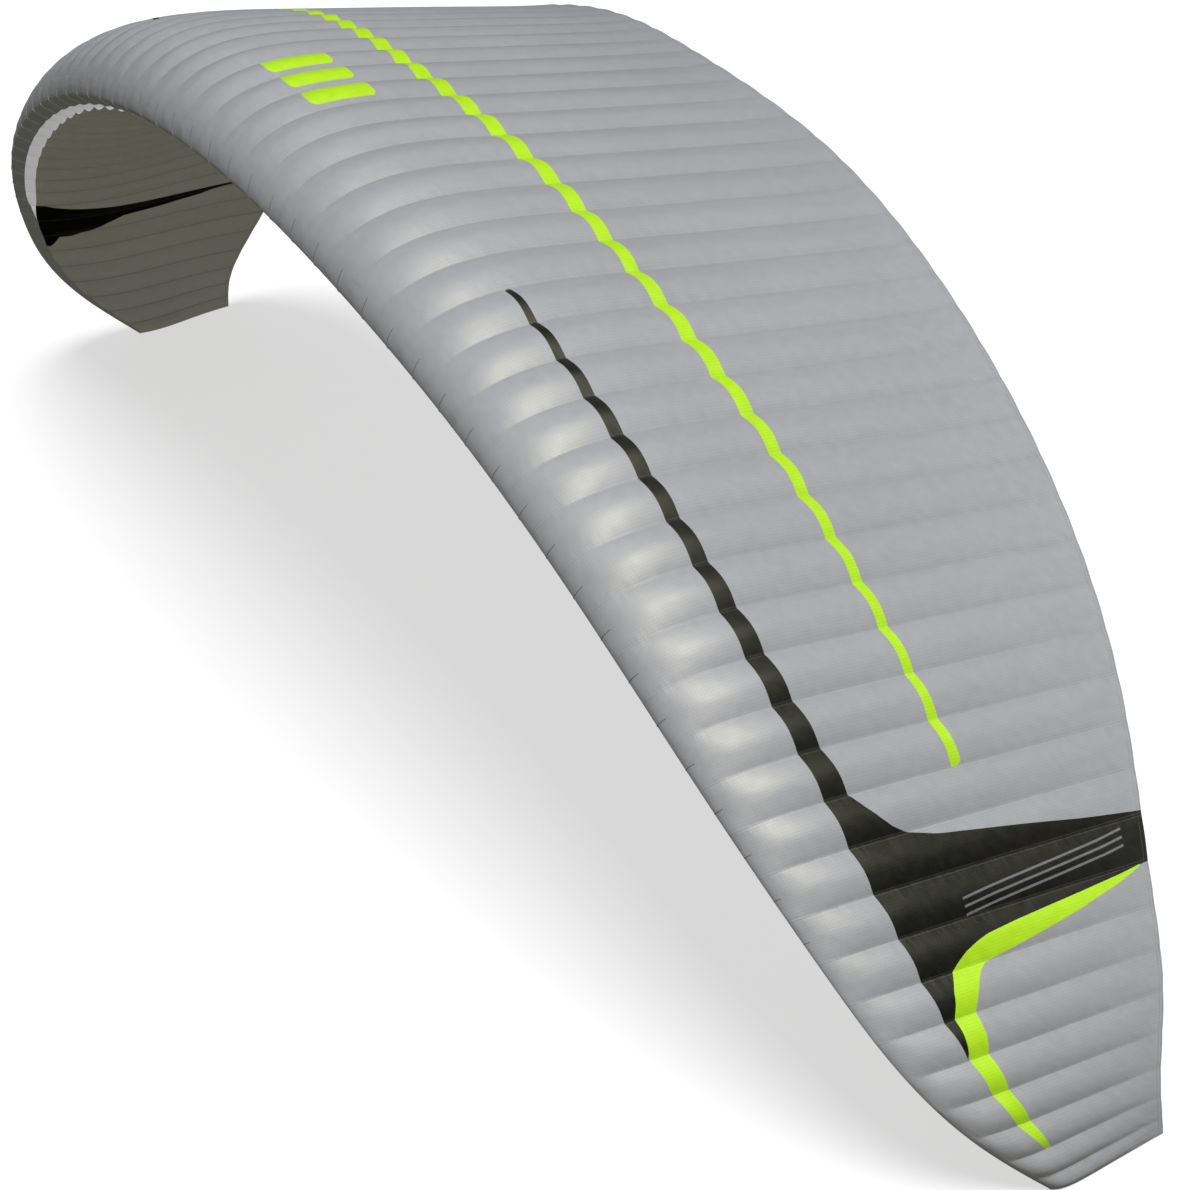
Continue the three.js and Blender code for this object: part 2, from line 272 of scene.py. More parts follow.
# The border that the black patch and the lime band share.
BAND_EDGE = [
    (23.61, 0.9069), (23.71, 0.7723), (23.8, 0.6375), (23.86, 0.5485), (23.95, 0.4491),
    (24.04, 0.41), (24.17, 0.3689), (24.33, 0.3371), (24.5, 0.3114), (24.91, 0.2765), (25.19, 0.2628),
    (25.47, 0.2459), (25.78, 0.2395), (26.16, 0.2271), (26.47, 0.2155),
]
BLACK_PATCH = [
    (20.4, 0.1981), (20.5, 0.2579), (20.81, 0.276), (21.09, 0.2989), (21.31, 0.3221), (21.5, 0.3551),
    (21.7, 0.4261), (21.79, 0.4929), (21.89, 0.5695), (22.02, 0.6697), (22.23, 0.8207), (22.45, 1.02),
    (23.5, 1.02), *BAND_EDGE, (26.5, 0.2107), (23.5, 0.2106),
]
LIME_BAND = [
    (23.5, 1), *BAND_EDGE, (27.5, 0.2119), (28.5, 0.2159),
    (29.5, 0.2428), (29.5, 0.2746), (28.5, 0.2833), (27.5, 0.2853), (26.49, 0.2891), (26.14, 0.3027),
    (25.76, 0.3125), (25.49, 0.3201), (25.13, 0.3443), (24.82, 0.3703), (24.65, 0.3915), (24.52, 0.4183),
    (24.39, 0.5259), (24.27, 0.6165), (24.06, 0.7561), (23.78, 0.8999),
]
BLACK_WEDGE = [
    (22.3, 0.04), (22.45, 0.07), (22.6, 0.117), (22.75, 0.19), (22.85, 0.261), (22.95, 0.332),
    (23.05, 0.455), (23.15, 0.597), (23.22, 0.73), (23.3, 0.9), (23.35, 0.9), (23.45, 0.744),
    (23.6, 0.663), (23.65, 0.577), (23.7, 0.494), (23.72, 0.428), (23.75, 0.363), (24.0, 0.299),
    (24.45, 0.232), (24.6, 0.157), (24.6, 0.11), (25.05, 0.062), (25.05, 0.04),
]


def flat_place(seam, chord_share):
    """A place on the cloth laid flat: metres along the span and back from the nose."""
    seam = np.asarray(seam, float)
    return np.stack([np.abs(share_of(seam)) * HALF_SPAN, chord_share * chord_of(seam)], -1)


def inside(corners, seam, chord_share):
    """Distance in metres to the edge of a patch of colour, above 0 inside it."""
    corners = np.array(corners, float)
    ring = flat_place(corners[:, 0], corners[:, 1])
    point = flat_place(seam, chord_share)
    nearest = np.full(point.shape[:-1], FAR)
    within = np.zeros(point.shape[:-1], bool)
    for a, b in zip(ring, np.roll(ring, -1, axis=0)):
        way = b - a
        t = np.clip(((point - a) @ way) / max(way @ way, FLAT), 0, 1)
        nearest = np.minimum(nearest, np.linalg.norm(point - a - t[..., None] * way, axis=-1))
        crosses = (a[1] > point[..., 1]) != (b[1] > point[..., 1])
        rise = way[1] if abs(way[1]) > FLAT else FLAT
        within ^= crosses & (point[..., 0] < a[0] + (point[..., 1] - a[1]) * way[0] / rise)
    return np.where(within, nearest, -nearest)


# ---------------------------------------------------------------- materials
# Detail of the cloth in metres. A pair is a blurred edge: where it starts and where it ends.
RIPSTOP = 0.0125
THREAD = 0.0016
THREAD_RISE = 0.00015
EDGE = 0.0006  # half the blur of a printed or sewn edge of colour
FOLD_EDGE = (0.0015, 0.0035)
FOLD_RISE = 0.0006
STITCH_PITCH = 0.004
STITCH_LENGTH = 0.0024
STITCH_FROM_SEAM = 0.006
STITCH_EDGE = (0.0004, 0.0009)
HEM_MIDDLE = 0.013
HEM_ROW_OFF = 0.007  # each row of stitches from the middle of the hem
HEM_STITCH_EDGE = (0.0005, 0.001)
HEM_EDGE = (0.018, 0.02)
HEM_RISE = 0.0004
SEAM_PAINTED_SHADE_REACH = 0.04
PUCKER_REACH = 0.07
PUCKER_RISE = 0.004
CREASE_RISE = 0.008

# Noise: how often it repeats in a metre, or its stretch along the span and back from the nose.
MOTTLE = 1.3
FINE_MOTTLE = 22.0
INNER_MOTTLE = 3.0
TAPE_MOTTLE = 30.0
PUCKERS = (3.0, 16.0, 1)
CREASES = (4.0, 2.0, 1)

# Shares by which the cloth's tone changes.
SPREAD = (0.3, 0.7)  # the part of a noise's range in which it does its work
WIDE_SPREAD = (0.25, 0.75)
FINE_TONES = (0.975, 1.025)
PANEL_SHADE = 0.03
WEAVE_SHADE = 0.1
# painted shade in the creases along the seams
SEAM_PAINTED_SHADE = 0.05
STITCH_SHADE = 0.15
HEM_STITCH_SHADE = 0.6


class Graph:
    """A material and short ways to add its nodes."""

    def __init__(self, name):
        self.material = bpy.data.materials.new(name)
        self.material.use_nodes = True
        self.tree = self.material.node_tree
        self.tree.nodes.clear()

    def add(self, kind, feeds=(), **settings):
        node = self.tree.nodes.new(kind)
        for key, value in settings.items():
            setattr(node, key, value)
        for key, value in dict(feeds).items():
            if isinstance(value, bpy.types.NodeSocket):
                self.tree.links.new(value, node.inputs[key])
            else:
                node.inputs[key].default_value = value
        return node

    def math(self, operation, a, b=0.0):
        return self.add("ShaderNodeMath", {0: a, 1: b}, operation=operation).outputs[0]

    def plus(self, a, b):
        return self.math("ADD", a, b)

    def minus(self, a, b):
        return self.math("SUBTRACT", a, b)

    def times(self, a, b):
        return self.math("MULTIPLY", a, b)

    def most(self, a, b):
        return self.math("MAXIMUM", a, b)

    def size(self, a):
        return self.math("ABSOLUTE", a)

    def away(self, a, b):
        """How far a is from b."""
        return self.size(self.minus(a, b))

    def ramp(self, value, low, high, to_low=0.0, to_high=1.0):
        feeds = {"Value": value, "From Min": low, "From Max": high, "To Min": to_low, "To Max": to_high}
        return self.add("ShaderNodeMapRange", feeds, interpolation_type="SMOOTHSTEP").outputs[0]

    def mix(self, factor, a, b, blend="MIX"):
        feeds = {0: factor, 6: a, 7: b}
        return self.add("ShaderNodeMix", feeds, data_type="RGBA", blend_type=blend).outputs[2]

    def attribute(self, name):
        return self.add("ShaderNodeAttribute", attribute_name=name).outputs["Fac"]

    def noise(self, place, scale, detail=2.0, stretch=(1, 1, 1)):
        moved = self.add("ShaderNodeMapping", {"Vector": place, "Scale": stretch}).outputs[0]
        feeds = {"Vector": moved, "Scale": scale, "Detail": detail, "Roughness": 0.55}
        return self.add("ShaderNodeTexNoise", feeds).outputs["Fac"]

    def lines(self, value, pitch, width):
        """1 on thin lines at every pitch of value, 0 between them."""
        turns = self.math("FRACT", self.math("DIVIDE", value, pitch))
        return self.ramp(self.away(turns, 0.5), width / pitch / 2, width / pitch, 1.0, 0.0)

    def cloth_place(self):
        """The place on the flat cloth, then its distance along the span and back from the nose."""
        place = self.add("ShaderNodeUVMap", uv_map="cloth").outputs[0]
        split = self.add("ShaderNodeSeparateXYZ", {0: place}).outputs
        return place, split[0], split[1]

    def weave(self, along, back):
        """1 on the thicker threads that mark the squares of ripstop."""
        return self.most(self.lines(along, RIPSTOP, THREAD), self.lines(back, RIPSTOP, THREAD))

    def toned(self, colour, tone):
        """The colour made lighter or darker by a tone about 1."""
        grey = self.add("ShaderNodeCombineColor", {0: tone, 1: tone, 2: tone}).outputs[0]
        return self.mix(1.0, colour, grey, "MULTIPLY")

    def finish(self, colour, roughness, height, **fixed):
        bump = self.add("ShaderNodeBump", {"Strength": 1.0, "Distance": 1.0, "Height": height}).outputs[0]
        feeds = {"Base Color": colour, "Roughness": roughness, "Normal": bump}
        shader = self.add("ShaderNodeBsdfPrincipled", feeds)
        for key, value in fixed.items():
            shader.inputs[key.replace("_", " ")].default_value = value
        self.add("ShaderNodeOutputMaterial", {"Surface": shader.outputs[0]})
        return self.material


LIME = (0.54, 0.93, 0.005, 1)
BLACK = (0.005, 0.005, 0.005, 1)
SILVER = (0.2, 0.2, 0.21, 1)
GLOSS_TINT = (1.0, 0.98, 0.8, 1)
PALE_THREAD = (0.55, 0.55, 0.55, 1)
# Dark thread for the stitches; the same colour paints the shade along the seams of the lower cloth.
DARK_THREAD_AND_SEAM_SHADE = (0.05, 0.05, 0.05, 1)

# The bars that stand in the middle of the wing: one on each of the three middle cells.
BAR_HALF_WIDTH = 0.07
BAR_NOSE, BAR_TAIL = 0.50, 0.80
BAR_CORNER = 0.03
EDGE_OF_BARS = 1e-4  # where the outer two bars end and the next cells start


def bars(graph, along, back):
    """1 on the three bars with round corners."""
    cell = float(share_of(np.array(0.5)) * HALF_SPAN * 2)
    turns = graph.math("FRACT", graph.plus(graph.math("DIVIDE", along, cell), 0.5))
    off = graph.times(graph.away(turns, 0.5), cell)
    middle = (BAR_NOSE + BAR_TAIL) / 2
    half = (BAR_TAIL - BAR_NOSE) / 2
    x = graph.most(graph.minus(off, BAR_HALF_WIDTH - BAR_CORNER), 0.0)
    y = graph.most(graph.minus(graph.away(back, middle), half - BAR_CORNER), 0.0)
    from_corner = graph.math("SQRT", graph.plus(graph.times(x, x), graph.times(y, y)))
    shape = graph.ramp(from_corner, BAR_CORNER - EDGE, BAR_CORNER + EDGE, 1.0, 0.0)
    last = 1.5 * cell
    near = graph.ramp(graph.size(along), last, last + EDGE_OF_BARS, 1.0, 0.0)
    return graph.times(shape, near)


PINSTRIPES = (0.09, 0.12, 0.15)  # metres from the lime band
PINSTRIPE_HALF = 0.0045
PINSTRIPE_ROOM = (0.42, 0.93)  # shares of the chord
PINSTRIPE_MARGIN = 0.03
PINSTRIPE_FADE = 0.002


def pinstripes(graph):
    """1 on three thin lines in the black patch, side by side along the lime band."""
    off = graph.attribute("from_band")
    room = graph.ramp(graph.attribute("pinstripe_room"), 0.0, PINSTRIPE_FADE)
    found = 0.0
    for at in PINSTRIPES:
        line = graph.ramp(graph.away(off, at), PINSTRIPE_HALF - EDGE, PINSTRIPE_HALF + EDGE, 1.0, 0.0)
        found = graph.most(found, line)
    return graph.times(found, room)


def ripstop_cloth(name, base, shade, marks, roughness, fold_painted_shade=0.0, middle=False, pinstriped=False):
    """Coated ripstop nylon: a fine square weave, soft creases, seams and hems with their stitches, and
    painted shade at the seams.
    """
    graph = Graph(name)
    place, along, back = graph.cloth_place()
    seam = graph.attribute("from_seam")
    hem = graph.attribute("from_hem")
    weave = graph.weave(along, back)
    mottle = graph.noise(place, MOTTLE, 3.0)
    fine = graph.noise(place, FINE_MOTTLE, 3.0)

    colour = graph.mix(graph.ramp(mottle, *SPREAD), base, shade)
    for attribute, tint in marks:
        mask = graph.ramp(graph.attribute(attribute), -EDGE, EDGE)
        colour = graph.mix(mask, colour, tint)
    if pinstriped:
        colour = graph.mix(pinstripes(graph), colour, SILVER)
    if middle:
        colour = graph.mix(bars(graph, along, back), colour, LIME)
    panel = graph.times(graph.attribute("panel"), PANEL_SHADE)
    tone = graph.plus(graph.ramp(fine, *SPREAD, *FINE_TONES), panel)
    tone = graph.minus(tone, graph.times(weave, WEAVE_SHADE))
    # Painted shade: darker near each seam, where the shade of the crease between cells falls.
    tone = graph.minus(tone, graph.ramp(seam, 0.0, SEAM_PAINTED_SHADE_REACH, SEAM_PAINTED_SHADE, 0.0))
    colour = graph.toned(colour, tone)

    # The folded seam over each rib, with a row of stitches on each side of it.
    fold = graph.ramp(seam, *FOLD_EDGE, 1.0, 0.0)
    row = graph.ramp(graph.away(seam, STITCH_FROM_SEAM), *STITCH_EDGE, 1.0, 0.0)
    stitches = graph.times(graph.lines(back, STITCH_PITCH, STITCH_LENGTH), row)
    # Painted shade: a dark line along the fold, for the shade in the crease at each rib. Only the lower cloth
    # takes it.
    colour = graph.mix(graph.times(fold, fold_painted_shade), colour, DARK_THREAD_AND_SEAM_SHADE)
    colour = graph.mix(graph.times(stitches, STITCH_SHADE), colour, PALE_THREAD)
    # The hem along the tail: two rows of stitches over a double layer.
    row = graph.ramp(graph.away(graph.away(hem, HEM_MIDDLE), HEM_ROW_OFF), *HEM_STITCH_EDGE, 1.0, 0.0)
    stitches = graph.times(row, graph.lines(along, STITCH_PITCH, STITCH_LENGTH))
    colour = graph.mix(graph.times(stitches, HEM_STITCH_SHADE), colour, DARK_THREAD_AND_SEAM_SHADE)

    # Relief in metres: the weave, the seam's fold, the puckers that run away from a seam, soft creases.
    pucker = graph.noise(place, 1.0, 2.0, PUCKERS)
    near_seam = graph.ramp(seam, 0.0, PUCKER_REACH, 1.0, 0.0)
    creases = graph.noise(place, 1.0, 3.0, CREASES)
    height = graph.times(weave, THREAD_RISE)
    height = graph.plus(height, graph.times(fold, FOLD_RISE))
    height = graph.plus(height, graph.times(graph.times(pucker, near_seam), PUCKER_RISE))
    height = graph.plus(height, graph.times(creases, CREASE_RISE))
    height = graph.plus(height, graph.times(graph.ramp(hem, *HEM_EDGE, 1.0, 0.0), HEM_RISE))
    rough = graph.ramp(fine, *WIDE_SPREAD, roughness - 0.04, roughness + 0.05)
    return graph.finish(colour, rough, height, Specular_IOR_Level=1.0, IOR=1.55, Specular_Tint=GLOSS_TINT)


def inner_cloth(name, base, painted_glow):
    """The uncoated inner face, with a painted glow that stands in for the daylight that comes through the
    cloth.
    """
    graph = Graph(name)
    place, along, back = graph.cloth_place()
    weave = graph.weave(along, back)
    tone = graph.ramp(graph.noise(place, INNER_MOTTLE, 3.0), *SPREAD, 0.95, 1.03)
    dull = graph.times(tone, graph.minus(1.0, graph.times(weave, WEAVE_SHADE)))
    height = graph.times(weave, THREAD_RISE)
    return graph.finish(graph.toned(base, dull), 0.7, height, Emission_Color=base, Emission_Strength=painted_glow)


TAPE_PITCH = 0.0012  # of the cross ribs
TAPE_RIB = 0.0006
TAPE_RISE = 0.0002


def tape_cloth(name, above, below):
    """Narrow woven tape: fine cross ribs. Below the nose it is paler, a painted light where the seams catch
    the light.
    """
    graph = Graph(name)
    place, _, back = graph.cloth_place()
    ribs = graph.lines(back, TAPE_PITCH, TAPE_RIB)
    colour = graph.mix(graph.attribute("below"), above, below)
    tone = graph.minus(graph.ramp(graph.noise(place, TAPE_MOTTLE), *SPREAD, 1.0, 0.9), graph.times(ribs, 0.2))
    return graph.finish(graph.toned(colour, tone), 0.6, graph.times(ribs, TAPE_RISE), Sheen_Weight=0.1)


GREY = (0.42, 0.425, 0.447, 1)
GREY_SHADE = (0.405, 0.41, 0.43, 1)
UNDER = (0.56, 0.56, 0.54, 1)
UNDER_SHADE = (0.53, 0.53, 0.51, 1)
UPPER_MARKS = [("black", BLACK), ("lime", LIME)]
UNDER_MARKS = [("black", BLACK)]
INNER = (0.5, 0.5, 0.5, 1)
RIB_INNER = (0.45, 0.45, 0.45, 1)
TAPE_ABOVE = (0.27, 0.27, 0.265, 1)
# The paler tone under the nose is a painted light.
TAPE_PAINTED_LIGHT_BELOW = (0.85, 0.85, 0.84, 1)

upper_cloth = ripstop_cloth("upper_ripstop", GREY, GREY_SHADE, UPPER_MARKS, 0.5, pinstriped=True)
middle_cloth = ripstop_cloth("middle_ripstop", GREY, GREY_SHADE, UPPER_MARKS, 0.5, middle=True)
# the lower cloth takes painted shade along its seams
lower_cloth = ripstop_cloth("lower_ripstop", UNDER, UNDER_SHADE, UNDER_MARKS, 0.6, fold_painted_shade=0.4)
# the inner faces and the ribs take a painted glow
inside_cloth = inner_cloth("inner_ripstop", INNER, 0.48)
rib_cloth = inner_cloth("rib_ripstop", RIB_INNER, 0.44)
nose_tape = tape_cloth("nose_tape", TAPE_ABOVE, TAPE_PAINTED_LIGHT_BELOW)


# ---------------------------------------------------------------- meshes
def make_mesh(name, points, faces, materials, uv, slots=None, sharp=None, values=None):
    mesh = bpy.data.meshes.new(name)
    mesh.from_pydata(np.asarray(points).tolist(), [], faces)
    for material in materials:
        mesh.materials.append(material)
    if slots is not None:
        mesh.polygons.foreach_set("material_index", slots)
    mesh.polygons.foreach_set("use_smooth", [True] * len(mesh.polygons))
    corner = np.empty(len(mesh.loops), np.int32)
    mesh.loops.foreach_get("vertex_index", corner)
    layer = mesh.uv_layers.new(name="cloth")
    layer.data.foreach_set("uv", np.asarray(uv)[corner].ravel())
    for key, value in (values or {}).items():
        layer = mesh.attributes.new(key, "FLOAT", "POINT")
        layer.data.foreach_set("value", np.asarray(value, np.float32))
    if sharp is not None:
        ends = np.empty(len(mesh.edges) * 2, np.int32)
        mesh.edges.foreach_get("vertices", ends)
        ends = ends.reshape(-1, 2)
        mesh.edges.foreach_set("use_edge_sharp", sharp(ends[:, 0], ends[:, 1]))
    mesh.update()
    made = bpy.data.objects.new(name, mesh)
    bpy.context.scene.collection.objects.link(made)
    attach(made, "root")
    return made


def sheet_faces(rows, columns):
    """Faces of a closed thin sheet: its outer grid, its inner grid, and its four edges."""
    grid = np.arange(rows * columns).reshape(rows, columns)
    a, b, c, d = grid[:-1, :-1], grid[:-1, 1:], grid[1:, 1:], grid[1:, :-1]
    outer = np.stack([a, d, c, b], -1).reshape(-1, 4)
    inner = np.stack([a, b, c, d], -1).reshape(-1, 4) + rows * columns
    ring = np.concatenate([grid[0, :-1], grid[:-1, -1], grid[-1, :0:-1], grid[:0:-1, 0]])
    after = np.roll(ring, -1)
    rim = np.stack([ring, after, after + rows * columns, ring + rows * columns], -1)
    return np.concatenate([outer, inner, rim]), len(outer), len(inner), len(rim)


PANEL_TONES = np.random.default_rng(7).uniform(-0.5, 0.5, CELLS + 1)


def skin(name, start, end, columns_to_cell, rows, turns_at, marks, materials):
    """One section of a skin between two seams, as a closed sheet with its colours and seams."""
    cells = int(round(end - start))
    columns = cells * columns_to_cell + 1
    seam = start + np.arange(columns) / columns_to_cell
    turn = np.stack([turns_at(s) for s in seam], 1)
    seam = np.broadcast_to(seam, turn.shape)
    cell = np.floor(seam + 0.5)
    cell = np.minimum(cell, end - 0.5)
    outer = cloth(seam, turn, cell) + SHIFT
    inner = outer - outward(seam, turn) * SHEET
    on_plate = np.abs(seam) > HALF_CELLS - HAIR
    outer[..., 2] = np.where(on_plate, PLATE_TOP, outer[..., 2])
    inner[..., 2] = np.where(on_plate, PLATE_TOP, inner[..., 2])

    steps = np.linalg.norm(np.diff(outer, axis=0), axis=-1)
    back = np.concatenate([np.zeros((1, columns)), np.cumsum(steps, 0)])
    nose = np.array([np.interp(0.0, turn[::-1, k], back[::-1, k]) for k in range(columns)])
    nose = nose if turn[0, 0] > 0 else back[0]
    back = np.abs(back - nose)
    along = share_of(seam) * HALF_SPAN
    uv = np.stack([along, back], -1).reshape(-1, 2)
    width = np.abs(share_of(cell + 0.5) - share_of(cell - 0.5)) * HALF_SPAN
    from_seam = np.minimum(seam - cell + 0.5, cell + 0.5 - seam) * width
    from_hem = (1 - turn * turn) * chord_of(seam)
    values = {"from_seam": from_seam, "from_hem": from_hem}
    values["panel"] = PANEL_TONES[(cell + (CELLS - 1) // 2).astype(int)]
    for key, shape in marks.items():
        values[key] = shape(seam, turn)
    values = {key: np.concatenate([value.ravel(), value.ravel()]) for key, value in values.items()}

    faces, outer_count, inner_count, rim_count = sheet_faces(rows, columns)
    slots = [0] * outer_count + [1] * inner_count + [0] * rim_count
    column = np.tile(np.tile(np.arange(columns), rows), 2)
    row = np.tile(np.repeat(np.arange(rows), columns), 2)
    layer = np.repeat([0, 1], rows * columns)

    def sharp(a, b):
        on_seam = (column[a] == column[b]) & (column[a] % columns_to_cell == 0)
        on_end = (row[a] == row[b]) & ((row[a] == 0) | (row[a] == rows - 1))
        return on_seam | on_end | (layer[a] != layer[b])

    points = np.concatenate([outer.reshape(-1, 3), inner.reshape(-1, 3)])
    made = make_mesh(name, points, faces.tolist(), materials, np.tile(uv, (2, 1)), slots, sharp, values)
    across = np.linalg.norm(np.diff(outer, axis=1), axis=-1)
    cross = (steps[:, 1:] + steps[:, :-1]) / 2 * (across[1:] + across[:-1]) / 2
    flat = (float(across.sum(1).max()), float(steps.sum(0).max()))
    return made, flat, float(cross.sum())


def upper_turns(seam):
    return np.linspace(1.0, float(lip(np.array(seam), UPPER_LIP, 1)), UPPER_ROWS)


def lower_turns(seam):
    return np.linspace(float(lip(np.array(seam), LOWER_LIP, -1)), -1.0, LOWER_ROWS)


NOSE_END = 0.05  # colour on the upper side starts behind this turn


def on_top(corners):
    """The patch on the upper side only, not round the nose."""
    return lambda seam, turn: np.where(turn > NOSE_END, inside(corners, np.abs(seam), turn * turn), -1.0)


def black_shape(seam, turn):
    return np.maximum(on_top(BLACK_STRIPE)(seam, turn), on_top(BLACK_PATCH)(seam, turn))


def lime_shape(seam, turn):
    return np.maximum(on_top(LIME_STRIPE)(seam, turn), on_top(LIME_BAND)(seam, turn))


def from_band(seam, turn):
    return -on_top(LIME_BAND)(seam, turn)


def pinstripe_room(seam, turn):
    """Above 0 in the part of the black patch that takes the pinstripes."""
    start, end = PINSTRIPE_ROOM
    ends = np.minimum(turn * turn - start, end - turn * turn)
    within = on_top(BLACK_PATCH)(seam, turn) - PINSTRIPE_MARGIN
    return np.minimum(within, ends * np.where(turn > 0, 1, -1))


def wedge_shape(seam, turn):
    return inside(BLACK_WEDGE, np.abs(seam), turn * turn)


UPPER_SHAPES = {
    "black": black_shape,
    "lime": lime_shape,
    "from_band": from_band,
    "pinstripe_room": pinstripe_room,
}
LOWER_SHAPES = {"black": wedge_shape}


def plate(name, outline, through, materials, uv):
    """A flat closed plate from an outline."""
    count = len(outline)
    points = np.concatenate([outline, outline + through])
    ring = list(range(count))
    faces = [ring[::-1], [i + count for i in ring]]
    faces += [[i, (i + 1) % count, (i + 1) % count + count, i + count] for i in ring]
    made = make_mesh(name, points, faces, materials, np.tile(uv, (2, 1)))
    made.data.polygons.foreach_set("use_smooth", [False] * len(made.data.polygons))
    return made


def flat_ring(outline):
    """An outline's points in its own plane, and its length and depth."""
    centre = outline.mean(0)
    axes = np.linalg.svd(outline - centre)[2]
    ring = (outline - centre) @ axes[:2].T
    return ring, tuple(float(side) for side in np.ptp(ring, axis=0))


# Skins.
rib_names = [f"rib_cloth_{i + 1:02d}" for i in range(int(2 * LAST_OPEN_SEAM + 1))]
for i in range(len(JOINTS) - 1):
    start, end = JOINTS[i], JOINTS[i + 1]
    outer_look = middle_cloth if i == 2 else upper_cloth
    piece, flat, area = skin(f"upper_cloth_{i + 1}", start, end, UPPER_COLUMNS, UPPER_ROWS,
                             upper_turns, UPPER_SHAPES, [outer_look, inside_cloth])
    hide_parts(f"upper_skin_{i + 1}")
    piece, flat, area = skin(f"lower_cloth_{i + 1}", start, end, LOWER_COLUMNS, LOWER_ROWS,
                             lower_turns, LOWER_SHAPES, [lower_cloth, inside_cloth])
    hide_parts(f"lower_skin_{i + 1}")

# Ribs, one at each seam of the open cells.
INSET = SHEET + RIB_GAP
RIB_END = 0.97  # the turn at which a rib ends short of the tail
RIB_FACING = 0.4  # the turn at which a rib stands square to the span
for i, name in enumerate(rib_names):
    seam = i - LAST_OPEN_SEAM
    upper = np.linspace(RIB_END, float(lip(np.array(seam), UPPER_LIP, 1)), RIB_POINTS)
    lower = np.linspace(float(lip(np.array(seam), LOWER_LIP, -1)), -RIB_END, RIB_POINTS // 2)
    turn = np.concatenate([upper, lower])
    outline = smooth(seam, turn) - outward(seam, turn) * INSET + SHIFT
    along = smooth(seam + NUDGE, RIB_FACING) - smooth(seam - NUDGE, RIB_FACING)
    along[1] = 0
    through = along / np.linalg.norm(along) * RIB_SHEET
    ring, flat = flat_ring(outline)
    piece = plate(name, outline - through / 2, through, [rib_cloth], ring)
    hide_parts(f"rib_{i + 1:02d}")

# Closing panels under the tips.
for side, name in ((-1, "left"), (1, "right")):
    turn = np.concatenate([upper_turns(HALF_CELLS), lower_turns(HALF_CELLS)])
    outline = cloth(side * HALF_CELLS, turn, side * (HALF_CELLS - 0.5)) + SHIFT
    outline[:, 2] = 0
    ring = outline[:, :2] - outline[:, :2].mean(0)
    flat = tuple(float(size) for size in np.ptp(ring, axis=0))
    piece = plate(f"tip_cloth_{name}", outline, np.array([0, 0, END_PLATE]), [inside_cloth], ring)
    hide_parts(f"tip_panel_{name}")

# Seams over the nose: a thin raised tape down the middle of every open cell, round to the upper lip.
TAPE_FROM = 0.1
TAPE_PALES = (-0.02, 0.04)  # turns past the nose between which it grows paler, a painted light
TAPE_ROUND = 0.012  # its girth on the flat cloth
TAPE_WIDTH, TAPE_HEIGHT = 0.0018, 0.002  # half width and rise above the cloth
TAPE_STEPS, TAPE_SIDES = 26, 8
tapes = [[] for _ in JOINTS[1:]]
for cell in range(-int(LAST_OPEN_SEAM - 0.5), int(LAST_OPEN_SEAM + 0.5)):
    last = float(lip(np.array(float(cell)), UPPER_LIP, 1))
    turn = np.linspace(TAPE_FROM, last, TAPE_STEPS)
    centre = cloth(float(cell), turn) + SHIFT
    up = outward(float(cell), turn)
    way = np.gradient(centre, axis=0)
    side = np.cross(way, up)
    side /= np.linalg.norm(side, axis=-1, keepdims=True)
    angle = np.arange(TAPE_SIDES) / TAPE_SIDES * 2 * np.pi
    ring = (centre[:, None] + side[:, None] * (np.cos(angle) * TAPE_WIDTH)[None, :, None]
            + up[:, None] * (np.sin(angle) * TAPE_HEIGHT)[None, :, None])
    length = np.concatenate([[0], np.cumsum(np.linalg.norm(np.diff(centre, axis=0), axis=-1))])
    section = next(k for k in range(len(JOINTS) - 1) if JOINTS[k] < cell < JOINTS[k + 1])
    tapes[section].append((ring, length, smoothstep(-turn, *TAPE_PALES)))

for section, made in enumerate(tapes):
    points, faces, uv, below = [], [], [], []
    for ring, length, under_nose in made:
        base = len(points)
        points += ring.reshape(-1, 3).tolist()
        uv += [(k / TAPE_SIDES * TAPE_ROUND, at) for at in length for k in range(TAPE_SIDES)]
        below += np.repeat(under_nose, TAPE_SIDES).tolist()
        for r in range(TAPE_STEPS - 1):
            for k in range(TAPE_SIDES):
                j = (k + 1) % TAPE_SIDES
                low, high = base + r * TAPE_SIDES, base + (r + 1) * TAPE_SIDES
                faces.append([low + k, low + j, high + j, high + k])
        faces.append([base + k for k in range(TAPE_SIDES)][::-1])
        faces.append([base + (TAPE_STEPS - 1) * TAPE_SIDES + k for k in range(TAPE_SIDES)])
    piece = make_mesh(f"nose_seams_{section + 1}", points, faces, [nose_tape], uv,
                      values={"below": below})

# ---------------------------------------------------------------- floor, lights and camera
FLOOR_HALF = 120.0
FLOOR_BELOW = 0.001  # the floor lies this far under the tips
FLOOR_TONE = (0.5, 0.5, 0.5, 1)
FLOOR_SHADE = (0.49, 0.49, 0.49, 1)
WHITE = (1, 1, 1, 1)

floor_graph = Graph("pale_floor")
floor_place = floor_graph.add("ShaderNodeTexCoord").outputs["Object"]
floor_patches = floor_graph.ramp(floor_graph.noise(floor_place, 0.6, 2.0), *SPREAD)
floor_colour = floor_graph.mix(floor_patches, FLOOR_TONE, FLOOR_SHADE)
pale_floor = floor_graph.finish(floor_colour, 0.9, 0.0, Emission_Color=WHITE, Emission_Strength=0.6)

